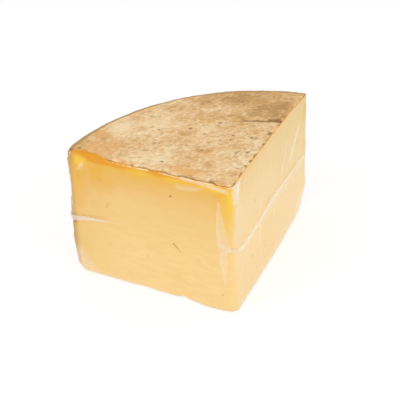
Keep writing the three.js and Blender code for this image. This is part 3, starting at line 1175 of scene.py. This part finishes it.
def shape_film(piece, sizes):
    """Draws the film off the cheese: over the hollow face, and at the weld, pocket, corner and creases."""
    stroke(piece, "film gap", np.ones(len(piece.data.vertices)), sizes.film_gap)
    places = SkinPlaces(piece, sizes)
    offsets = body_offsets(places, sizes, sizes.film_hollow)
    offsets += RIDGE_RISE * hump(places.height, RIDGE_HEIGHT, RIDGE_REACH) * places.facing_back()
    for along in (ALONG_LEFT, ALONG_RIGHT):
        offsets += film_rise(along, places.along(along), places.height) * places.facing(along)
    for along, gap, half_width, _, fade in crease_shapes(places):
        offsets += CREASE_RISE * half_width * hump(gap, 0, 1) * fade * places.facing(along)
    puffs = 2.3 * hump(places.height, 108 * MM, 14 * MM) + hump(places.height, 72 * MM, 11 * MM)
    corner = hump(places.right, face_reach(sizes, ALONG_RIGHT), 10 * MM) * hump(places.left, 0, 14 * MM)
    press(piece, "film shape", offsets + 1.1 * MM * puffs * corner)
    draw_ends(piece, sizes, FILM_DRAW)
    edges = np.maximum(hump(places.left, 0, 30 * MM), hump(places.right, 0, 20 * MM))
    roughen(piece, 0.35 + 0.65 * edges, FILM_RELIEF)


def film_milk_and_glint(places):
    """How milky the film is at each vertex, painted highlights included."""
    milk = 0.008 + 0.008 * places.facing(ALONG_RIGHT)
    milk += 0.1 * hump(places.height, RIDGE_HEIGHT, 6 * MM) * places.facing_back()
    for along, outline, softness, strength in MILK_AND_GLINT_PATCHES:
        depth = patch_depth(places.along(along), places.height, outline)
        milk = np.maximum(milk, strength * ease(depth, -softness * MM, softness * MM) * places.facing(along))
    for along, gap, _, strength, fade in crease_shapes(places):
        milk = np.maximum(milk, strength * hump(gap, 0, 1) * fade * places.facing(along))
    return milk


class CHEDDAR_OT_film(bpy.types.Operator):
    """Models the tight clear film all round the cheese"""

    bl_idname = "cheddar.film"
    bl_label = "Film"

    def execute(self, context):
        sizes = context.scene.cheddar_sizes
        film = wedge_block("film_wrap", sizes, sizes.film_skin_size)
        refine_creases(film, sizes)
        shape_film(film, sizes)
        notch_foot(film, sizes)
        places = SkinPlaces(film, sizes)
        write_attribute(film, "milk", film_milk_and_glint(places))
        write_attribute(film, "streaky", places.facing(ALONG_RIGHT))
        keep_piece(film, film_material(context.scene.cheddar_colours))
        return {"FINISHED"}


def add_ribbon(name, line, profile):
    """A mesh of a profile drawn along a line of places, with the profile's size at each."""
    bpy.ops.object.select_all(action="DESELECT")
    bpy.ops.curve.primitive_nurbs_path_add(location=(0, 0, 0))
    ribbon = bpy.context.object
    ribbon.name = ribbon.data.name = name
    curve = ribbon.data
    curve.splines.clear()
    curve.twist_mode = "Z_UP"
    curve.use_fill_caps = True
    curve.bevel_mode = "OBJECT"
    curve.bevel_object = profile
    spline = curve.splines.new("NURBS")
    spline.points.add(len(line) - 1)
    for spot, (place, size) in zip(spline.points, line):
        spot.co = (*place, 1.0)
        spot.radius = size
    spline.order_u = 3
    spline.use_endpoint_u = True
    spline.resolution_u = 6
    activate(ribbon)
    bpy.ops.object.convert(target="MESH")
    return bpy.context.object


def weld_profile(sizes):
    """Section of the weld: a flat lens, as wide as the weld and as thick."""
    bpy.ops.object.select_all(action="DESELECT")
    bpy.ops.curve.primitive_bezier_circle_add(radius=0.5, location=(0, 0, 0))
    bpy.ops.transform.resize(value=(sizes.weld_thickness, sizes.weld_width, 1))
    bpy.ops.object.transform_apply(location=False, rotation=False, scale=True)
    profile = bpy.context.object
    profile.data.resolution_u = 4
    return profile


def face_stations(sizes, along, rows):
    """The weld's places on the film of a cut face, and sizes, for rows of distance, height and size."""
    for distance, height, size in rows:
        proud = float(film_rise(along, distance * MM, height * MM)) + WELD_LIFT
        if along is ALONG_RIGHT:
            share = distance * MM / face_reach(sizes, along)
            proud -= sizes.film_hollow * 3.6 * max(share * (1 - share), 0)
        yield face_place(sizes, along, distance * MM, height * MM, proud), size


def weld_line(sizes):
    """The weld's way: off the left face round the point, along the right face, round the back and out."""
    line = list(face_stations(sizes, ALONG_LEFT, WELD_ON_LEFT_POINT))
    line += face_stations(sizes, ALONG_RIGHT, WELD_ON_RIGHT)
    start = side_turn(sizes, ALONG_RIGHT)
    end = side_turn(sizes, ALONG_LEFT)
    for station in range(1, WELD_SIDE_STATIONS):
        share = station / WELD_SIDE_STATIONS
        height = (WELD_BACK_HEIGHT - WELD_BACK_FALL * share + WELD_BACK_WAVER * math.sin(9 * share)) * MM
        size = 0.8 + 0.2 * math.sin(23 * share)
        line.append((side_place(sizes, start + (end - start) * share, height, WELD_SIDE_LIFT), size))
    line += face_stations(sizes, ALONG_LEFT, WELD_ON_LEFT_END)
    return line


def weld_milk(places):
    """How milky the weld is: most at its loose left end, and more round the back and in a few stretches."""
    milk = 0.03 + 0.25 * ease(places.left, 4 * MM, 14 * MM) * ease(places.right, 4 * MM, 14 * MM)
    for distance in WELD_BRIGHT:
        milk += 0.08 * hump(places.right, distance * MM, 14 * MM)
    loose = ease(places.left, 90 * MM, 130 * MM) * ease(places.right, 8 * MM, 2 * MM)
    knot = hump(places.right, 0, 8 * MM) * hump(places.left, 6 * MM, 14 * MM)
    return milk + 0.45 * loose + 0.25 * knot


class CHEDDAR_OT_weld(bpy.types.Operator):
    """Models the film's weld at half height"""

    bl_idname = "cheddar.weld"
    bl_label = "Film Weld"

    def execute(self, context):
        sizes = context.scene.cheddar_sizes
        profile = weld_profile(sizes)
        weld = add_ribbon("film_weld", weld_line(sizes), profile)
        bpy.data.objects.remove(profile)
        draw_ends(weld, sizes, FILM_DRAW)
        write_attribute(weld, "milk", weld_milk(SkinPlaces(weld, sizes)))
        keep_piece(weld, film_material(context.scene.cheddar_colours))
        return {"FINISHED"}


# Stage


def floor_material(stage):
    """Pale floor with a faint mottle, lit from below."""
    material, desk, surface = new_material("pale_floor")
    spot = desk.add("ShaderNodeTexCoord").outputs["Object"]
    faint = blotches(desk, spot, 0.3, 2.0, low=0.2, high=0.8)
    shade = desk.blend(desk.product(faint, 0.02), stage.floor_colour, (0.45, 0.45, 0.45))
    shader = desk.add("ShaderNodeBsdfPrincipled", {
        "Base Color": shade, "Roughness": 0.9, "Specular IOR Level": 0.1,
        "Emission Color": (1.0, 1.0, 1.0), "Emission Strength": stage.floor_glow})
    desk.feed(surface, shader.outputs[0])
    return material


def add_softbox(name, place, aim, size, power):
    """A square area light that looks at a place."""
    bpy.ops.object.select_all(action="DESELECT")
    bpy.ops.object.light_add(type="AREA", location=place)
    light = bpy.context.object
    light.name = name
    light.rotation_euler = (Vector(aim) - Vector(place)).to_track_quat("-Z", "Y").to_euler()
    light.data.size = size
    light.data.energy = power


def add_camera(stage):
    """The camera, by its place, yaw, dip and roll."""
    yaw, dip, roll = stage.camera_yaw, stage.camera_dip, stage.camera_roll
    ahead = Vector((math.cos(yaw) * math.cos(dip), math.sin(yaw) * math.cos(dip), -math.sin(dip)))
    level = Vector((math.sin(yaw), -math.cos(yaw), 0))
    upright = level.cross(ahead)
    across = level * math.cos(roll) + upright * math.sin(roll)
    upward = upright * math.cos(roll) - level * math.sin(roll)
    bpy.ops.object.select_all(action="DESELECT")
    bpy.ops.object.camera_add(location=stage.camera_place)
    camera = bpy.context.object
    camera.rotation_euler = Matrix((across, upward, -ahead)).transposed().to_euler()
    camera.data.lens = stage.camera_lens
    bpy.context.scene.camera = camera


class CHEDDAR_OT_stage(bpy.types.Operator):
    """Sets up the floor, the soft light and the camera"""

    bl_idname = "cheddar.stage"
    bl_label = "Stage"

    def execute(self, context):
        stage = context.scene.cheddar_stage
        bpy.ops.object.select_all(action="DESELECT")
        bpy.ops.mesh.primitive_plane_add(size=stage.floor_size, location=(0, 0, CAD_LOW.z - FLOOR_DROP))
        floor = context.object
        floor.name = "floor"
        floor.data.materials.append(floor_material(stage))
        aim = (0, 0, CAD_HIGH.z / 2)
        for name, (place, size, power) in SOFTBOXES.items():
            add_softbox(name, place, aim, size, power)
        world = bpy.data.worlds.new("studio")
        world.use_nodes = True
        background = world.node_tree.nodes["Background"].inputs
        background["Strength"].default_value = stage.sky_strength
        background["Color"].default_value = (1, 1, 1, 1)
        context.scene.world = world
        context.scene.view_settings.view_transform = "Standard"
        add_camera(stage)
        return {"FINISHED"}


class CHEDDAR_PT_panel(bpy.types.Panel):
    """Lists the pieces of the wedge"""

    bl_idname = "CHEDDAR_PT_panel"
    bl_label = "Cheddar Wedge"
    bl_space_type = "VIEW_3D"
    bl_region_type = "UI"
    bl_category = "Cheddar"

    def draw(self, context):
        for operator in OPERATORS:
            self.layout.operator(operator.bl_idname)
        for name, group in GROUPS.items():
            box = self.layout.box()
            for setting in group.__annotations__:
                box.prop(getattr(context.scene, name), setting)


OPERATORS = (CHEDDAR_OT_cheese, CHEDDAR_OT_film, CHEDDAR_OT_weld, CHEDDAR_OT_stage)
GROUPS = {"cheddar_sizes": CheddarSizes, "cheddar_colours": CheddarColours, "cheddar_stage": CheddarStage}


def register():
    """Adds the settings, the operators and the panel."""
    for name, group in GROUPS.items():
        bpy.utils.register_class(group)
        setattr(bpy.types.Scene, name, PointerProperty(type=group))
    for item in (*OPERATORS, CHEDDAR_PT_panel):
        bpy.utils.register_class(item)


def unregister():
    """Takes the panel, the operators and the settings away."""
    for item in (CHEDDAR_PT_panel, *reversed(OPERATORS)):
        bpy.utils.unregister_class(item)
    for name, group in GROUPS.items():
        delattr(bpy.types.Scene, name)
        bpy.utils.unregister_class(group)


def main():
    """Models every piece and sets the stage."""
    register()
    bpy.ops.cheddar.cheese()
    bpy.ops.cheddar.film()
    bpy.ops.cheddar.weld()
    bpy.ops.cheddar.stage()


if __name__ == "__main__":
    main()
